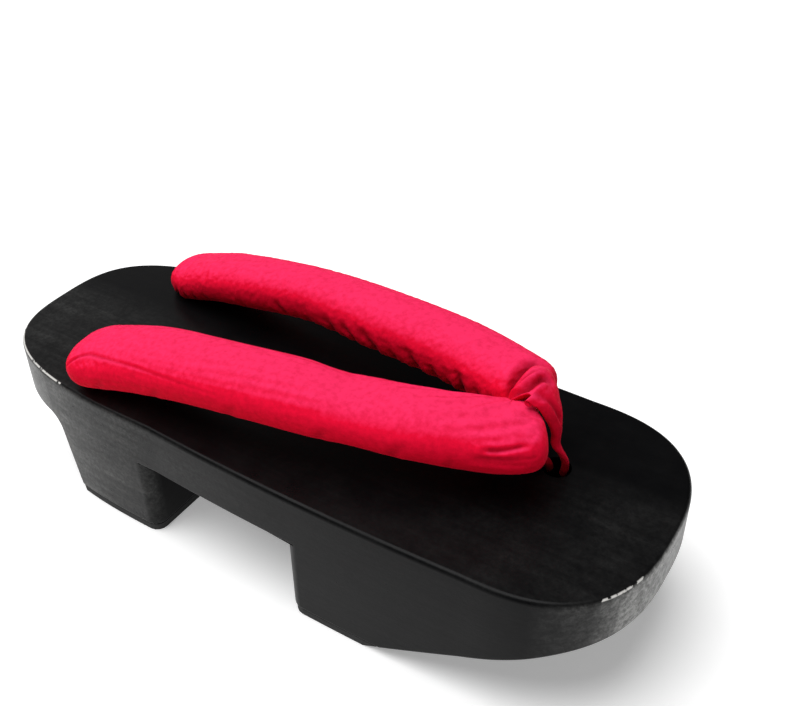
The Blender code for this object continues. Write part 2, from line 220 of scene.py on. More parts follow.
def half_width(x):
    """Half of the block's width at x."""
    if x < HEEL_ROOT_X:
        share = min(1.0, (HEEL_ROOT_X - x) / HEEL_ROUND)
        return HEEL_WIDTH / 2 * (1 - share**HEEL_SQUARENESS) ** (1 / HEEL_SQUARENESS)
    if x > TOE_ROOT_X:
        share = min(1.0, (x - TOE_ROOT_X) / TOE_ROUND)
        return TOE_WIDTH / 2 * (1 - share**TOE_SQUARENESS) ** (1 / TOE_SQUARENESS)
    share = (x - HEEL_ROOT_X) / (TOE_ROOT_X - HEEL_ROOT_X)
    return (HEEL_WIDTH + share * (TOE_WIDTH - HEEL_WIDTH)) / 2 + 4 * SIDE_BULGE * share * (1 - share)


def plan(cap_steps=56, side_steps=24):
    """The block from above, anticlockwise from the heel's tip along the -Y side."""
    side = []
    for i in range(cap_steps):
        reach, rise = superellipse(math.pi / 2 * i / cap_steps, HEEL_SQUARENESS)
        side.append((HEEL_ROOT_X - reach * HEEL_ROUND, rise * HEEL_WIDTH / 2))
    for i in range(side_steps):
        x = HEEL_ROOT_X + (TOE_ROOT_X - HEEL_ROOT_X) * i / side_steps
        side.append((x, half_width(x)))
    for i in range(cap_steps, 0, -1):
        reach, rise = superellipse(math.pi / 2 * i / cap_steps, TOE_SQUARENESS)
        side.append((TOE_ROOT_X + reach * TOE_ROUND, rise * TOE_WIDTH / 2))
    near = [(x, -y, 0.0) for x, y in side]
    far = [(x, y, 0.0) for x, y in reversed(side[1:])]
    return near + [(LENGTH / 2, 0.0, 0.0)] + far


def arch_plan(steps=8):
    """The room between the teeth from above. It flares along the rounded corners to the block's sides."""
    sides = []
    for end, into in ((REAR_TOOTH_FRONT, -1), (FRONT_TOOTH_BACK, 1)):
        half = [(end + into * TOOTH_CORNER, HEEL_WIDTH / 2 + 0.02)]
        for i in range(steps + 1):
            turned = math.pi / 2 * i / steps
            x = end + into * TOOTH_CORNER * (1 - math.sin(turned))
            half.append((x, half_width(x) - TOOTH_CORNER * (1 - math.cos(turned))))
        sides.append([(x, -y, -0.02) for x, y in half] + [(x, y, -0.02) for x, y in reversed(half)])
    return sides[0] + list(reversed(sides[1]))


def side_view(lip_steps=12):
    """The block from the side, as the saw leaves it, drawn 20 mm past its ends and its deck."""
    spare = 0.02
    lean = math.atan2(REAR_TOOTH_LEAN, UNDERSIDE)
    fillet_x = REAR_TOOTH_BACK - REAR_TOOTH_FILLET * math.tan((math.pi / 2 - lean) / 2)
    points = [(-LENGTH / 2 - spare, DECK_HEIGHT + spare), (-LENGTH / 2 - spare, UNDERSIDE)]
    for i in range(9):
        angle = math.pi / 2 + (lean - math.pi / 2) * i / 8
        x = fillet_x + REAR_TOOTH_FILLET * math.cos(angle)
        points.append((x, UNDERSIDE - REAR_TOOTH_FILLET * (1 - math.sin(angle))))
    back_foot = REAR_TOOTH_BACK + REAR_TOOTH_LEAN * (1 - WOOD_BOTTOM / UNDERSIDE)
    points += [(back_foot, WOOD_BOTTOM), (FRONT_TOOTH_TOE + WOOD_BOTTOM / FRONT_SLOPE, WOOD_BOTTOM)]
    lip_z, toe_z, run = (LIP_START - FRONT_TOOTH_TOE) * FRONT_SLOPE, DECK_HEIGHT - LIP_THICK, LENGTH / 2 - LIP_START
    for i in range(lip_steps + 1):
        share = i / lip_steps
        ease = (toe_z - lip_z - FRONT_SLOPE * run) * share**2
        points.append((LIP_START + run * share, lip_z + FRONT_SLOPE * run * share + ease))
    points += [(LENGTH / 2 + spare, toe_z), (LENGTH / 2 + spare, DECK_HEIGHT + spare)]
    return [(x, -LENGTH / 2, z) for x, z in points]


print("points of the plan and of the side view:", len(plan()), len(side_view()))


# %% Saw the block
def drawn_solid(name, points, lift):
    """A flat outline of a circle's points, moved to where points says and extruded by lift."""
    bpy.ops.object.select_all(action="DESELECT")
    bpy.ops.mesh.primitive_circle_add(vertices=len(points), fill_type="NGON")
    solid = bpy.context.object
    solid.name = solid.data.name = name
    for vert, point in zip(solid.data.vertices, points):
        vert.co = point
    bpy.ops.object.mode_set(mode="EDIT")
    bpy.ops.mesh.select_all(action="SELECT")
    bpy.ops.mesh.extrude_region_move(TRANSFORM_OT_translate={"value": lift})
    bpy.ops.mesh.select_all(action="SELECT")
    bpy.ops.mesh.normals_make_consistent(inside=False)
    bpy.ops.object.mode_set(mode="OBJECT")
    return solid


def apply_modifier(piece, kind, **settings):
    """Adds a modifier, sets it and applies it."""
    bpy.ops.object.select_all(action="DESELECT")
    bpy.context.view_layer.objects.active = piece
    modifier = piece.modifiers.new(kind.title(), kind)
    for name, value in settings.items():
        setattr(modifier, name, value)
    bpy.ops.object.modifier_apply(modifier=modifier.name)


def cut(piece, operation, tool):
    """Joins or cuts with another solid, which is then removed."""
    apply_modifier(piece, "BOOLEAN", operation=operation, solver="EXACT", object=tool)
    bpy.data.objects.remove(tool, do_unlink=True)


dai = drawn_solid("dai_block", plan(), (0, 0, DECK_HEIGHT))
cut(dai, "INTERSECT", drawn_solid("side_saw", side_view(), (0, LENGTH, 0)))
cut(dai, "DIFFERENCE", drawn_solid("arch_saw", arch_plan(), (0, 0, 0.02 + UNDERSIDE)))
print("sawn block:", len(dai.data.vertices), "points")


# %% Break the edges and drill the holes
def edge_radius(mesh, edge, first, second):
    """Deck rim 1.6 mm, every other edge that sticks out 1 mm, and nothing where the wood is flat or hollow."""
    flat = first.normal.angle(second.normal, 0.0) < math.radians(32)
    hollow = (second.center - first.center).dot(first.normal) > 0
    if flat or hollow:
        return 0.0
    lowest = min(mesh.vertices[i].co.z for i in edge.vertices)
    return DECK_EDGE if lowest > DECK_HEIGHT - 1e-5 else SAWN_EDGE


beside = {}
for face in dai.data.polygons:
    for key in face.edge_keys:
        beside.setdefault(key, []).append(face)
weight = dai.data.attributes.new("bevel_weight_edge", "FLOAT", "EDGE")
for edge in dai.data.edges:
    weight.data[edge.index].value = edge_radius(dai.data, edge, *beside[edge.key]) / DECK_EDGE
apply_modifier(dai, "BEVEL", limit_method="WEIGHT", width=DECK_EDGE, segments=4, use_clamp_overlap=False)

TOE_HOLE = (0.0800, 0.0085)
HEEL_HOLES = ((-0.073, -0.030), (-0.073, 0.030))
HOLE_RADIUS = 0.0045
HOLE_DEPTH = 0.014
for x, y in (TOE_HOLE, *HEEL_HOLES):
    bpy.ops.object.select_all(action="DESELECT")
    bpy.ops.mesh.primitive_cylinder_add(vertices=40, radius=HOLE_RADIUS, depth=2 * HOLE_DEPTH, location=(x, y, DECK_HEIGHT))
    cut(dai, "DIFFERENCE", bpy.context.object)
dai.data.shade_smooth()
bpy.ops.object.select_all(action="DESELECT")
bpy.context.view_layer.objects.active = dai
bpy.ops.object.mode_set(mode="EDIT")
bpy.ops.mesh.select_all(action="DESELECT")
bpy.ops.mesh.edges_select_sharp(sharpness=math.radians(50))
bpy.ops.mesh.mark_sharp()
bpy.ops.object.mode_set(mode="OBJECT")
apply_modifier(dai, "WEIGHTED_NORMAL", weight=80, keep_sharp=True)
print("finished block:", len(dai.data.polygons), "faces")

# %% [markdown]
# The block is painted with black lacquer, thin enough that the grain still shows as faint relief. Lacquer is
# a clear hard resin, so its IOR is about 1.5, and it is satin, not mirror bright. Its grey is partly scuffs and
# partly painted reflection: small scuff specks, the walls of the heel and of the toe painted grey where they
# mirror the light, and the deck greyer towards its ends. A pale line on the near side's rim is partly lacquer
# worn through to the pale wood and partly a painted highlight, whole at the heel and the toe, in dashes past them.

# %% Black lacquered wood
lacquer, tree, shader = new_material("black_lacquered_wood")
coords = add_node(tree, "TexCoord")
spot = coords.outputs["Object"]
axes_of = add_node(tree, "SeparateXYZ", {0: spot})
facing = add_node(tree, "SeparateXYZ", {0: coords.outputs["Normal"]})

# The grain runs along the block: rings 2 to 3 mm apart, stretched to 60 mm long.
along_grain = add_node(tree, "Mapping", {"Vector": spot, "Scale": (18.0, 400.0, 400.0), "Rotation": (0.0, math.radians(4), 0.0)})
grain = add_node(tree, "TexNoise", {"Vector": along_grain.outputs["Vector"], "Scale": 1.0, "Detail": 5.0, "Roughness": 0.6})
# Scuff specks are about 1 mm across and lie in clouds of about 12 mm.
speckle = add_node(tree, "TexNoise", {"Vector": spot, "Scale": 750.0, "Detail": 4.0, "Roughness": 0.75})
clouds = add_node(tree, "TexNoise", {"Vector": spot, "Scale": 80.0, "Detail": 4.0, "Roughness": 0.6})

# Painted reflection along the block: grey on the upright walls at the heel and at the toe, where they mirror the light,
# and a little grey on the deck towards its ends.
lengthwise = add_node(tree, "MapRange", {"Value": axes_of.outputs["X"], "From Min": -LENGTH / 2, "From Max": LENGTH / 2})
wall_painted_reflection = ramp(tree, lengthwise.outputs[0], [
    (0.0, (0.38, 0.38, 0.38, 1)), (1.0, (0.85, 0.85, 0.85, 1)), (0.16, (0.27, 0.27, 0.27, 1)),
    (0.34, (0.05, 0.05, 0.05, 1)), (0.55, (0.01, 0.01, 0.01, 1)), (0.90, (0.005, 0.005, 0.005, 1)),
    (0.96, (0.14, 0.14, 0.14, 1)), (0.988, (0.85, 0.85, 0.85, 1)),
])
deck_grey_towards_ends = ramp(tree, lengthwise.outputs[0], [
    (0.0, (0.06, 0.06, 0.06, 1)), (1.0, (0.024, 0.024, 0.024, 1)), (0.22, (0.02, 0.02, 0.02, 1)), (0.34, (0.006, 0.006, 0.006, 1)),
    (0.70, (0.010, 0.010, 0.010, 1)),
])
level = add_node(tree, "MapRange", {"Value": facing.outputs["Z"], "From Min": 0.4, "From Max": 0.8})
scuffs_and_painted_reflection = add_node(tree, "Mix", {"Factor": level.outputs[0], 6: wall_painted_reflection, 7: deck_grey_towards_ends}, data_type="RGBA")
# The painted reflection of the toe fades past its tip, on the big toe's side.
toe_reflection_fade = add_node(tree, "MapRange", {"Value": axes_of.outputs["Y"], "From Min": 0.002, "From Max": 0.014, "To Min": 1.0, "To Max": 0.1})
scuffs_and_painted_reflection = add_node(tree, "Math", {0: scuffs_and_painted_reflection.outputs[2], 1: toe_reflection_fade.outputs[0]}, operation="MULTIPLY")
# The painted reflection and the scuffs are kept to the outer walls and the deck, so the holes and the arch's inside
# stay black.
side_out = add_node(tree, "Math", {0: axes_of.outputs["Y"]}, operation="ABSOLUTE")
side_out = add_node(tree, "MapRange", {"Value": side_out.outputs[0], "From Min": 0.0370, "From Max": 0.0400})
end_out = add_node(tree, "Math", {0: axes_of.outputs["X"]}, operation="ABSOLUTE")
end_out = add_node(tree, "MapRange", {"Value": end_out.outputs[0], "From Min": 0.086, "From Max": 0.090})
out = add_node(tree, "Math", {0: side_out.outputs[0], 1: end_out.outputs[0]}, operation="MAXIMUM")
out = add_node(tree, "Math", {0: out.outputs[0], 1: level.outputs[0]}, operation="MAXIMUM")
specks = add_node(tree, "MapRange", {"Value": speckle.outputs["Fac"], "From Min": 0.38, "From Max": 0.66, "To Min": 0.5, "To Max": 1.35})
broad = add_node(tree, "MapRange", {"Value": clouds.outputs["Fac"], "From Min": 0.35, "From Max": 0.65, "To Min": 0.65, "To Max": 1.2})
scuffs_and_painted_reflection = add_node(tree, "Math", {0: scuffs_and_painted_reflection.outputs[0], 1: out.outputs[0]}, operation="MULTIPLY")
scuffs_and_painted_reflection = add_node(tree, "Math", {0: scuffs_and_painted_reflection.outputs[0], 1: specks.outputs[0]}, operation="MULTIPLY")
streaks = add_node(tree, "MapRange", {"Value": grain.outputs["Fac"], "From Min": 0.36, "From Max": 0.64, "To Min": 0.62, "To Max": 1.30})
scuffs_and_painted_reflection = add_node(tree, "Math", {0: scuffs_and_painted_reflection.outputs[0], 1: broad.outputs[0]}, operation="MULTIPLY")
scuffs_and_painted_reflection = add_node(tree, "Math", {0: scuffs_and_painted_reflection.outputs[0], 1: streaks.outputs[0]}, operation="MULTIPLY", use_clamp=True)
# Painted reflection, with scuff specks, greys the black lacquer.
base = add_node(tree, "Mix", {"Factor": scuffs_and_painted_reflection.outputs[0], 6: linear("#060607"), 7: linear("#9A9A98")}, data_type="RGBA")

# The pale lines of the rim, partly worn lacquer and partly painted highlight, on the near side only: whole round the
# heel's side and the toe's side, in dashes past them.
height_off = add_node(tree, "Math", {0: axes_of.outputs["Z"], 1: DECK_HEIGHT - 0.0005}, operation="SUBTRACT")
height_off = add_node(tree, "Math", {0: height_off.outputs[0]}, operation="ABSOLUTE")
rim = add_node(tree, "MapRange", {"Value": height_off.outputs[0], "From Min": 0.00012, "From Max": 0.00030, "To Min": 1.0, "To Max": 0.0})
near_side = add_node(tree, "Math", {0: axes_of.outputs["Y"], 1: -0.008}, operation="LESS_THAN")
heel_rim_wear_and_highlight = add_node(tree, "MapRange", {"Value": axes_of.outputs["X"], "From Min": -0.088, "From Max": -0.060, "To Min": 0.20, "To Max": -0.18})
toe_start = add_node(tree, "MapRange", {"Value": axes_of.outputs["X"], "From Min": 0.1105, "From Max": 0.1118, "To Min": -0.70, "To Max": 0.0})
toe_fade = add_node(tree, "MapRange", {"Value": axes_of.outputs["Y"], "From Min": -0.027, "From Max": -0.014, "To Min": 0.17, "To Max": -0.10})
toe_rim_wear_and_highlight = add_node(tree, "Math", {0: toe_start.outputs[0], 1: toe_fade.outputs[0]}, operation="ADD")
wear = add_node(tree, "Math", {0: heel_rim_wear_and_highlight.outputs[0], 1: toe_rim_wear_and_highlight.outputs[0]}, operation="MAXIMUM")
dashes = add_node(tree, "TexNoise", {"Vector": spot, "Scale": 260.0, "Detail": 3.0, "Roughness": 0.7})
dashes = add_node(tree, "Math", {0: dashes.outputs["Fac"], 1: wear.outputs[0]}, operation="ADD")
dashes = add_node(tree, "MapRange", {"Value": dashes.outputs[0], "From Min": 0.55, "From Max": 0.61})
# Painted highlight and wear: a pale line along the near side's rim.
rim_wear_and_highlight = add_node(tree, "Math", {0: rim.outputs[0], 1: dashes.outputs[0]}, operation="MULTIPLY")
rim_wear_and_highlight = add_node(tree, "Math", {0: rim_wear_and_highlight.outputs[0], 1: near_side.outputs[0]}, operation="MULTIPLY")
colour = add_node(tree, "Mix", {"Factor": rim_wear_and_highlight.outputs[0], 6: base.outputs[2], 7: linear("#D8D6D2")}, data_type="RGBA")
tree.links.new(colour.outputs[2], shader.inputs["Base Color"])

rough = add_node(tree, "MapRange", {"Value": clouds.outputs["Fac"], "From Min": 0.3, "From Max": 0.7, "To Min": 0.26, "To Max": 0.40})
tree.links.new(rough.outputs[0], shader.inputs["Roughness"])
shader.inputs["IOR"].default_value = 1.5
shader.inputs["Specular IOR Level"].default_value = 0.08
relief = add_node(tree, "Bump", {"Height": grain.outputs["Fac"], "Strength": 0.12, "Distance": 0.0003})
pits = add_node(tree, "Bump", {"Height": speckle.outputs["Fac"], "Strength": 0.15, "Distance": 0.0002, "Normal": relief.outputs["Normal"]})
tree.links.new(pits.outputs["Normal"], shader.inputs["Normal"])
dai.data.materials.clear()
dai.data.materials.append(lacquer)
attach(dai, "root")
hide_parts("dai_body")
print("lacquer nodes:", len(tree.nodes))

# %% [markdown]
# Each tooth stands on a thin sheet of black rubber. Sheet rubber is matt and faintly grained, and dust
# greys it. The CAD plates already have the right shape, so they only get this material.

# %% Rubber of the treads
rubber, tree, shader = new_material("black_sheet_rubber")
spot = add_node(tree, "TexCoord").outputs["Object"]
fine = add_node(tree, "TexNoise", {"Vector": spot, "Scale": 1100.0, "Detail": 3.0})
tone = ramp(tree, fine.outputs["Fac"], [(0.35, linear("#0D0D0D")), (0.75, linear("#232222"))])
tree.links.new(tone, shader.inputs["Base Color"])
shader.inputs["Roughness"].default_value = 0.78
shader.inputs["IOR"].default_value = 1.52
relief = add_node(tree, "Bump", {"Height": fine.outputs["Fac"], "Strength": 0.4, "Distance": 0.0002})
tree.links.new(relief.outputs["Normal"], shader.inputs["Normal"])
for name in ("rear_tooth_rubber", "front_tooth_rubber"):
    plate = bpy.data.objects[name]
    plate.data.materials.clear()
    plate.data.materials.append(rubber)

# %% [markdown]
# The hanao is a cotton tube stuffed with wadding round a cord. Each arm of the V starts as a ball, which is
# stretched along the arm's path, so it has closed ends and its own coordinates along and round it. A table
# gives the path and the section in a few rows, and a smooth curve reads between the rows.

# %% The arms' path
CLEARANCE = 0.0003
STRAP_HEEL_X = -0.076
STRAP_TOE_X = 0.072
STRAP_SPREAD = 0.0302
STRAP_RISE = 0.0205
STRAP_WIDTH = 0.0246
STRAP_THICK = 0.0165
STRAP_SQUARENESS = 2.3
TOE_SHIFT = 0.003
NOSE_TURN = 0.90
INNER_SAG = 0.0022
ARM_ROWS = (
    # along, spread, rise, width, thick, lean
    (0.0, 1.00, 0.30, 1.06, 0.88, 0.0),
    (0.2, 0.90, 0.66, 1.04, 0.97, 5.0),
    (0.4, 0.86, 0.88, 0.98, 0.96, 6.0),
    (0.6, 0.75, 0.95, 1.02, 1.02, 2.5),
    (0.8, 0.63, 0.95, 1.00, 1.03, 1.5),
    (1.0, 0.33, 0.95, 0.97, 1.00, 1.5),
)


def between(rows, column, along):
    """A column of a table read at a place along it, on a smooth curve."""
    places = [row[0] for row in rows]
    values = [row[column] for row in rows]
    along = min(max(along, places[0]), places[-1])
    i = max(k for k in range(len(places) - 1) if places[k] <= along)
    span = places[i + 1] - places[i]
    share = (along - places[i]) / span
    slopes = []
    for k in (i, i + 1):
        low, high = max(k - 1, 0), min(k + 1, len(places) - 1)
        slopes.append((values[high] - values[low]) / (places[high] - places[low]))
    square, cube = share**2, share**3
    start = values[i] * (2 * cube - 3 * square + 1) + slopes[0] * span * (cube - 2 * square + share)
    return start + values[i + 1] * (3 * square - 2 * cube) + slopes[1] * span * (cube - square)


def arm_middle(x, side):
    """The middle of an arm at x. side is -1 for the little toe's arm, 1 for the big toe's."""
    along = (x - STRAP_HEEL_X) / (STRAP_TOE_X - STRAP_HEEL_X)
    spread = STRAP_SPREAD * between(ARM_ROWS, 1, along) - max(x - STRAP_TOE_X, 0) * NOSE_TURN
    shift = TOE_SHIFT * min(max(along, 0), 1) ** 3
    sag = INNER_SAG * max(0.0, min(1.0, (-0.062 - x) / 0.024)) if side > 0 else 0.0
    return Vector((x, side * spread + shift, DECK_HEIGHT + CLEARANCE + STRAP_RISE * between(ARM_ROWS, 2, along) - sag))


def arm_section(side, start, end, tail_round, nose_round, slim, place):
    """Middle, half width and half thickness of an arm, place going from 0 at its tail to 1 at its nose."""
    eased = place - 0.45 * math.sin(2 * math.pi * place) / (2 * math.pi)
    x = start + (end - start) * eased
    tail = 1 - max(0.0, min(1.0, (x - start) / tail_round))
    nose = 1 - max(0.0, min(1.0, (end - x) / nose_round))
    fullness = (1 - tail**2.8) ** (1 / 2.8) * (1 - nose**3.4) ** (1 / 3.4)
    along = (x - STRAP_HEEL_X) / (STRAP_TOE_X - STRAP_HEEL_X)
    ahead = (arm_middle(x + 0.001, side) - arm_middle(x - 0.001, side)).normalized()
    lean = math.radians(between(ARM_ROWS, 5, along)) * side
    across = Vector((-ahead.y, ahead.x, 0)).normalized()
    upward = ahead.cross(across)
    wide = across * math.cos(lean) - upward * math.sin(lean)
    thick = across * math.sin(lean) + upward * math.cos(lean)
    half_wide = STRAP_WIDTH / 2 * between(ARM_ROWS, 3, along) * fullness * slim
    half_thick = STRAP_THICK / 2 * between(ARM_ROWS, 4, along) * fullness * slim
    return arm_middle(x, side), wide * half_wide, thick * half_thick


print("little toe's arm at its middle:", [round(1000 * v, 1) for v in arm_middle(0.0, -1)])


# %% Stretch a ball along a path
def stretched_ball(name, section, rings, around):
    """A ball whose poles and rings are laid along a path. It keeps the ball's own points as an attribute."""
    bpy.ops.object.select_all(action="DESELECT")
    bpy.ops.mesh.primitive_uv_sphere_add(segments=around, ring_count=rings, radius=1)
    piece = bpy.context.object
    piece.name = piece.data.name = name
    ball = piece.data.attributes.new("ball", "FLOAT_VECTOR", "POINT")
    sections = {}
    for vert in piece.data.vertices:
        ball.data[vert.index].vector = vert.co
        place = round(math.acos(max(-1.0, min(1.0, -vert.co.z))) / math.pi, 6)
        if place not in sections:
            sections[place] = section(place)
        middle, wide, thick = sections[place]
        reach, rise = superellipse(math.atan2(vert.co.y, vert.co.x), STRAP_SQUARENESS)
        vert.co = middle + wide * reach + thick * rise
    piece.data.shade_smooth()
    return piece


outer_arm = stretched_ball("hanao_outer_arm", lambda place: arm_section(-1, -0.0770, 0.0791, 0.012, 0.009, 1.03, place), 200, 64)
inner_arm = stretched_ball("hanao_inner_arm", lambda place: arm_section(1, -0.0872, 0.0714, 0.020, 0.011, 0.97, place), 200, 64)
print("arm mesh:", len(outer_arm.data.polygons), "faces")


# %% [markdown]
# The wadding is pressed in by cloth simulation. The air pressure inside stands for the wadding, the seam
# along the lower inner edge is drawn up a sixth shorter than the cloth beside it, and a soft hold keeps
# each point near the arm's own shape.

# %% Stuff the arms
def stuff(piece, seam_turn, cap):
    """Runs the cloth for 20 frames, caps how far a point moved and adds one subdivision."""
    rest = [vert.co.copy() for vert in piece.data.vertices]
    ball = piece.data.attributes["ball"].data
    seam = piece.vertex_groups.new(name="seam")
    hold = piece.vertex_groups.new(name="hold")
    for vert in piece.data.vertices:
        x, y, z = ball[vert.index].vector
        apart = abs((math.degrees(math.atan2(y, x)) - seam_turn + 180) % 360 - 180)
        seam.add([vert.index], max(0.0, 1 - apart / 26), "REPLACE")
        hold.add([vert.index], 0.3 + 0.7 * min(1.0, max(0.0, (abs(z) - 0.90) / 0.08)), "REPLACE")
    bpy.context.view_layer.objects.active = piece
    modifier = piece.modifiers.new("Cloth", "CLOTH")
    cloth = modifier.settings
    cloth.quality = 6
    cloth.mass = 0.15
    cloth.tension_stiffness = cloth.compression_stiffness = 25
    cloth.shear_stiffness = 8
    cloth.bending_stiffness = 0.05
    cloth.use_pressure = True
    cloth.uniform_pressure_force = 4
    cloth.effector_weights.gravity = 0
    cloth.vertex_group_mass = "hold"
    cloth.vertex_group_shrink = "seam"
    cloth.shrink_min = -0.02
    cloth.shrink_max = 0.16
    modifier.collision_settings.use_collision = False
    for number in range(1, 21):
        bpy.context.scene.frame_set(number)
    bpy.ops.object.modifier_apply(modifier="Cloth")
    bpy.context.scene.frame_set(1)
    moves = []
    for vert, start in zip(piece.data.vertices, rest):
        move = vert.co - start
        moves.append(move.length)
        if move.length > cap:
            vert.co = start + move.normalized() * cap
    piece.vertex_groups.clear()
    apply_modifier(piece, "SUBSURF", levels=1, render_levels=1)
    print(piece.name, "moved up to mm:", round(1000 * max(moves), 2), "mean:", round(1000 * sum(moves) / len(moves), 2))


stuff(outer_arm, -38, 0.0014)
stuff(inner_arm, 218, 0.0018)

# %% [markdown]
# The main creases are placed one by one, in the strap's own sizes: a soft trough with a low ridge on each
# side. A row gives the crease's line on the arm in points of x in mm and degrees round it (0 is towards the
# big toe, 90 is up, 180 is towards the little toe), then its half width and depth in mm.

# %% Creases
OUTER_CREASES = (
    # points of (x, round), half width, depth at its start, depth at its end
    (((-72, 155), (-70, 140), (-67, 129), (-64, 125), (-60, 128), (-52, 134), (-44, 139), (-33, 147), (-23, 153), (-8, 161)), 0.5, 0.50, 0.15),
    (((70, 155), (73, 153), (76, 147), (79, 142)), 0.8, 0.70, 0.40),
    (((68, 173), (73, 170), (79, 168)), 1.2, 0.50, 0.30),
    (((-60, 204), (-56, 178)), 1.3, 0.50, 0.10),
    (((-38, 208), (-33, 176)), 1.3, 0.55, 0.10),
    (((-9, 206), (-4, 176)), 1.5, 0.55, 0.10),
    (((22, 204), (26, 172)), 1.3, 0.55, 0.10),
    (((44, 204), (49, 168)), 1.4, 0.60, 0.10),
    (((60, 204), (62, 180)), 1.2, 0.50, 0.10),
)
INNER_CREASES = (
    # points of (x, round), half width, depth at its start, depth at its end
    (((-80, 212), (-79, 178)), 0.8, 0.90, 0.20),
    (((-74, 214), (-75, 184)), 0.8, 0.90, 0.20),
    (((-69, 214), (-70, 188)), 0.8, 0.80, 0.10),
    (((-62, 212), (-64, 190)), 0.9, 0.60, 0.10),
    (((-44, 216), (-45, 190)), 1.2, 0.50, 0.10),
    (((-25, 222), (-26, 200), (-28, 186), (-29, 178)), 1.0, 1.10, 0.25),
    (((-15, 222), (-16, 196)), 1.3, 0.80, 0.10),
    (((-4, 222), (-5, 196), (-9, 180)), 1.4, 1.10, 0.15),
    (((5, 222), (4, 198), (1, 184), (0, 176)), 1.1, 1.30, 0.20),
    (((13, 222), (13, 196), (10, 182), (5, 168)), 1.4, 1.30, 0.15),
    (((21, 220), (21, 198), (19, 186)), 1.0, 1.00, 0.10),
    (((30, 220), (29, 196), (27, 178), (25, 170)), 1.3, 1.40, 0.20),
    (((37, 218), (36, 192), (35, 178)), 1.2, 1.10, 0.15),
    (((43, 216), (42, 194)), 0.9, 1.00, 0.15),
    (((48, 216), (47, 190), (46, 174), (44, 166)), 1.3, 1.40, 0.20),
    (((55, 214), (54, 190), (52, 176)), 1.1, 1.10, 0.15),
    (((61, 212), (60, 188), (58, 172)), 1.0, 1.00, 0.20),
    (((66, 162), (65, 132), (65, 108), (66, 88), (68, 74)), 1.7, 2.10, 0.90),
)


def arm_chart(piece):
    """Where each point of an arm lies, as (x in mm, degrees round it times 0.17), which is also about mm."""
    ball = piece.data.attributes["ball"].data
    spots = []
    for vert in piece.data.vertices:
        x, y, _ = ball[vert.index].vector
        spots.append((1000 * vert.co.x, 0.17 * (math.degrees(math.atan2(y, x)) % 360)))
    return spots


def off_line(spot, line):
    """How far a spot lies from a line of points, and how far along the line its foot lies, from 0 to 1."""
    near, at = 1e9, 0.0
    for i, ((x0, y0), (x1, y1)) in enumerate(zip(line, line[1:])):
        run_x, run_y = x1 - x0, y1 - y0
        share = ((spot[0] - x0) * run_x + (spot[1] - y0) * run_y) / (run_x**2 + run_y**2)
        share = max(0.0, min(1.0, share))
        far = math.hypot(spot[0] - x0 - run_x * share, spot[1] - y0 - run_y * share)
        if far < near:
            near, at = far, (i + share) / (len(line) - 1)
    return near, at


def press_creases(piece, chart, rows, outward):
    """Pushes each crease's trough in, against the outward direction, and lifts its two sides a little. It also stores
    painted shade as the crease attribute, in the troughs and on points lower than 1.5 mm above the deck.
    """
    mesh = piece.data
    moves = [0.0] * len(chart)
    painted_shade = [0.0] * len(chart)
    for line, wide, deep_start, deep_end in rows:
        low = [min(point[k] for point in line) - 4 * wide for k in (0, 1)]
        high = [max(point[k] for point in line) + 4 * wide for k in (0, 1)]
        for i, spot in enumerate(chart):
            if not (low[0] < spot[0] < high[0] and low[1] < spot[1] < high[1]):
                continue
            near, at = off_line(spot, line)
            depth = (deep_start + (deep_end - deep_start) * at) * min(1.0, 0.4 + 5 * min(at, 1 - at))
            trough = math.exp(-((near / wide) ** 2))
            ridge = math.exp(-(((near - 2.2 * wide) / (1.2 * wide)) ** 2))
            moves[i] += depth * (0.30 * ridge - trough)
            # Painted shade in the crease's trough.
            painted_shade[i] = max(painted_shade[i], trough * min(1.0, 0.9 * depth))
    for vert, direction, move in zip(mesh.vertices, outward, moves):
        vert.co += direction * (move / 1000)
        # Painted shade on points lower than 1.5 mm above the deck, such as those down in the toe hole.
        if vert.co.z < DECK_HEIGHT + 0.0015:
            painted_shade[vert.index] = max(painted_shade[vert.index], min(1.0, (DECK_HEIGHT + 0.0015 - vert.co.z) / 0.002))
    mesh.attributes.new("crease", "FLOAT", "POINT").data.foreach_set("value", painted_shade)


def on_arm(rows):
    """Crease rows with their degrees turned into the arm chart's own measure."""
    return [([(x, 0.17 * turned) for x, turned in line], *rest) for line, *rest in rows]


for piece, rows in ((outer_arm, OUTER_CREASES), (inner_arm, INNER_CREASES)):
    press_creases(piece, arm_chart(piece), on_arm(rows), [vert.normal.copy() for vert in piece.data.vertices])
print("creases:", len(OUTER_CREASES) + len(INNER_CREASES))

# %% [markdown]
# The maetsubo is a strip of the same cotton. It comes up out of the toe hole in front, spreads over the
# point of the V in pleats, is pinched where it dives between the two arms, and goes down behind them.

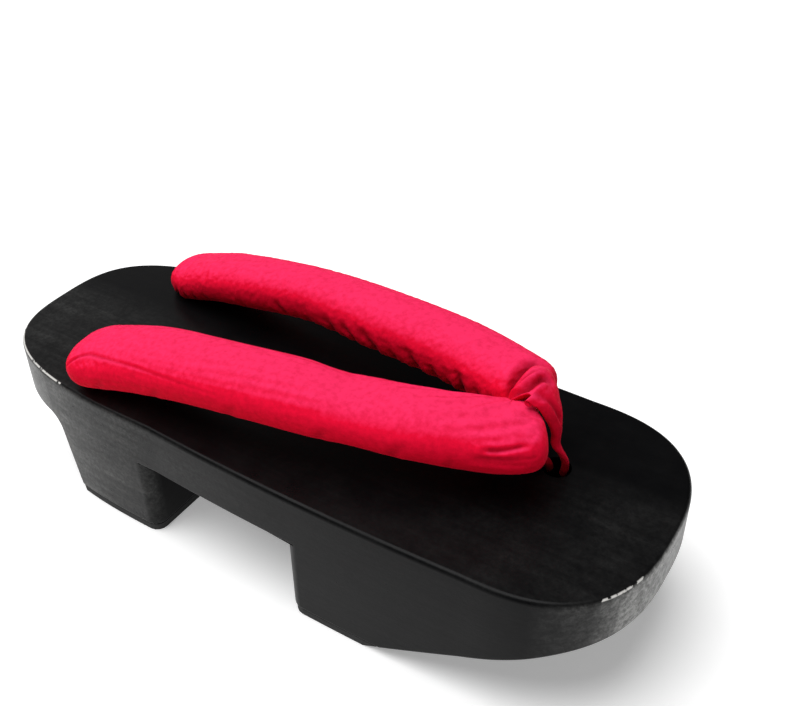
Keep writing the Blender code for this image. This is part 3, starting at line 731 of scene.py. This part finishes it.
# %% The toe loop
LOOP_REACH = 0.0150
LOOP_RISE = 0.0305
LOOP_WIDTH = 0.0188
LOOP_THICK = 0.0034
LOOP_ASIDE = 0.006
LOOP_ROWS = (
    # ahead, aside, rise, width, thick, turn, droop
    (0.10, -0.15, -0.12, 0.18, 0.75, 10, 0.0),
    (0.16, -0.10, 0.03, 0.18, 0.65, 30, 0.0),
    (0.15, 0.08, 0.16, 0.21, 0.60, 50, 0.0),
    (0.06, 0.32, 0.30, 0.25, 0.60, 40, 0.0),
    (0.00, 0.48, 0.40, 0.20, 0.80, 15, 0.0),
    (0.00, 0.50, 0.53, 0.22, 0.80, 0, 0.0),
    (-0.03, 0.52, 0.67, 0.36, 0.75, 0, 0.4),
    (-0.09, 0.48, 0.80, 0.62, 0.70, 8, 1.2),
    (-0.22, 0.32, 0.91, 0.92, 0.60, 15, 2.0),
    (-0.46, 0.20, 1.00, 1.08, 0.55, 20, 2.3),
    (-0.70, 0.45, 0.99, 0.80, 0.60, 20, 1.8),
    (-0.86, 0.95, 0.82, 0.34, 0.80, 8, 0.5),
    (-0.88, 1.00, 0.45, 0.24, 0.85, 0, 0.0),
    (-0.66, 0.70, 0.22, 0.16, 0.85, 0, 0.0),
    (-0.24, 0.02, 0.03, 0.14, 0.75, 0, 0.0),
    (-0.16, -0.12, -0.12, 0.14, 0.75, 0, 0.0),
)
LOOP_CREASES = (
    # points of (percent along the strip, tenths of half its width), half width, depth at its start and end
    (((71, -7.5), (69, -6.5), (67, -4.9), (63, -2.4), (61, -0.9), (60, 0.9), (58, 2.0)), 1.6, 2.1, 1.5),
    (((70, -1.0), (66, 1.5), (62, 4.5)), 1.2, 0.9, 0.3),
    (((60, -7.5), (54, -5.5), (47, -3.0), (40, 0.0)), 1.3, 0.2, 0.8),
    (((52, 6.5), (46, 4.5), (40, 2.5)), 1.3, 0.1, 0.6),
)
loop_rows = [(i / (len(LOOP_ROWS) - 1), *row) for i, row in enumerate(LOOP_ROWS)]


def loop_middle(place):
    return Vector((
        TOE_HOLE[0] + LOOP_REACH * between(loop_rows, 1, place),
        TOE_HOLE[1] - LOOP_ASIDE * between(loop_rows, 2, place),
        DECK_HEIGHT + LOOP_RISE * between(loop_rows, 3, place),
    ))


def loop_section(place):
    """Middle, half width and half thickness of the strip, place going from its front leg to its rear leg."""
    ahead = (loop_middle(min(place + 0.01, 1)) - loop_middle(max(place - 0.01, 0))).normalized()
    turned = math.radians(between(loop_rows, 6, place))
    outward = Vector((-math.sin(turned), math.cos(turned), 0)).cross(ahead).normalized()
    across = ahead.cross(outward)
    fullness = min(1.0, math.sin(math.pi * place) * 12) if 0 < place < 1 else 0.0
    half_wide = LOOP_WIDTH / 2 * between(loop_rows, 4, place) * fullness
    half_thick = LOOP_THICK / 2 * between(loop_rows, 5, place) * fullness
    return loop_middle(place), across * half_wide, outward * half_thick


toe_loop = stretched_ball("maetsubo_cloth", loop_section, 220, 96)
ball = toe_loop.data.attributes["ball"].data
loop_chart, loop_outward = [], []
sections = {}
for vert in toe_loop.data.vertices:
    x, y, z = ball[vert.index].vector
    place = math.acos(max(-1.0, min(1.0, -z))) / math.pi
    key = round(place, 5)
    if key not in sections:
        sections[key] = (*loop_section(place), 0.001 * between(loop_rows, 7, place))
    middle, wide, thick, droop = sections[key]
    share = (vert.co - middle).dot(wide.normalized()) / max(wide.length, 1e-6)
    vert.co -= thick.normalized() * droop * share**2
    loop_chart.append((100 * place, 10 * share))
    loop_outward.append(thick.normalized())
press_creases(toe_loop, loop_chart, LOOP_CREASES, loop_outward)
toe_loop.data.shade_smooth()
print("toe loop:", len(toe_loop.data.polygons), "faces")


# %% Press the arms in under the toe loop
def press_under(piece, side, cover):
    """Moves each point of an arm that sticks out over the loop to just under the loop's face."""
    tree = BVHTree.FromPolygons([vert.co for vert in cover.data.vertices], [face.vertices for face in cover.data.polygons])
    pressed = 0
    for vert in piece.data.vertices:
        if vert.co.x < 0.060:
            continue
        inward = (arm_middle(min(vert.co.x, 0.072), side) - vert.co).normalized()
        hit, normal, _, _ = tree.ray_cast(vert.co, inward, 0.005)
        if hit is not None and normal.dot(inward) < 0:
            vert.co = hit + inward * CLEARANCE
            pressed += 1
    print(piece.name, "points pressed in:", pressed)


press_under(outer_arm, -1, toe_loop)
press_under(inner_arm, 1, toe_loop)

# %% [markdown]
# The cloth is plain red cotton, washed soft, with a short nap. It has almost no gloss. Its colour holds painted
# light and shade: the red is painted lighter and pinker where the surface faces up and deeper on the sides and
# underneath, and creases and low points are painted dark red as painted shade. The nap lies in tufts about 1 mm across.

# %% Red cotton
cotton, tree, shader = new_material("red_napped_cotton")
coords = add_node(tree, "TexCoord")
spot = coords.outputs["Object"]
facing = add_node(tree, "SeparateXYZ", {0: coords.outputs["Normal"]})
crease = add_node(tree, "Attribute", attribute_name="crease")
tufts = add_node(tree, "TexNoise", {"Vector": spot, "Scale": 520.0, "Detail": 3.0, "Roughness": 0.6})
cloud = add_node(tree, "TexNoise", {"Vector": spot, "Scale": 160.0, "Detail": 3.0, "Roughness": 0.6})
# Painted light and shade: the red is lighter and pinker as the surface faces up, deeper as it faces down.
upward = add_node(tree, "MapRange", {"Value": facing.outputs["Z"], "From Min": -0.3, "From Max": 1.0})
blurred = add_node(tree, "MapRange", {"Value": tufts.outputs["Fac"], "From Min": 0.3, "From Max": 0.7, "To Min": -0.06, "To Max": 0.06})
upward = add_node(tree, "Math", {0: upward.outputs[0], 1: blurred.outputs[0]}, operation="ADD")
red = ramp(tree, upward.outputs[0], [(0.05, linear("#CA0322")), (1.0, linear("#FC2F63")), (0.72, linear("#EE0C36"))])
nap = ramp(tree, tufts.outputs["Fac"], [(0.30, linear("#F0F0F0")), (0.60, WHITE)])
red = add_node(tree, "Mix", {"Factor": 0.9, 6: red, 7: nap}, data_type="RGBA", blend_type="MULTIPLY")
# Painted shade: the crease attribute darkens troughs and low points towards dark red.
crease_painted_shade = add_node(tree, "Mix", {"Factor": crease.outputs["Fac"], 6: red.outputs[2], 7: linear("#94051C")}, data_type="RGBA")
tree.links.new(crease_painted_shade.outputs[2], shader.inputs["Base Color"])
shader.inputs["Roughness"].default_value = 0.92
shader.inputs["IOR"].default_value = 1.5
shader.inputs["Specular IOR Level"].default_value = 0.05
shader.inputs["Sheen Weight"].default_value = 0.12
shader.inputs["Sheen Roughness"].default_value = 0.3
shader.inputs["Sheen Tint"].default_value = linear("#FF6C94")
lumps = add_node(tree, "Bump", {"Height": cloud.outputs["Fac"], "Strength": 0.30, "Distance": 0.0015})
relief = add_node(tree, "Bump", {"Height": tufts.outputs["Fac"], "Strength": 0.24, "Distance": 0.0006, "Normal": lumps.outputs["Normal"]})
tree.links.new(relief.outputs["Normal"], shader.inputs["Normal"])
for piece in (outer_arm, inner_arm, toe_loop):
    piece.data.materials.clear()
    piece.data.materials.append(cotton)
    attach(piece, "root")
for piece in (outer_arm, inner_arm):
    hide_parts("hanao_strap")
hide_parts("maetsubo_toe_loop")
print("cotton nodes:", len(tree.nodes))
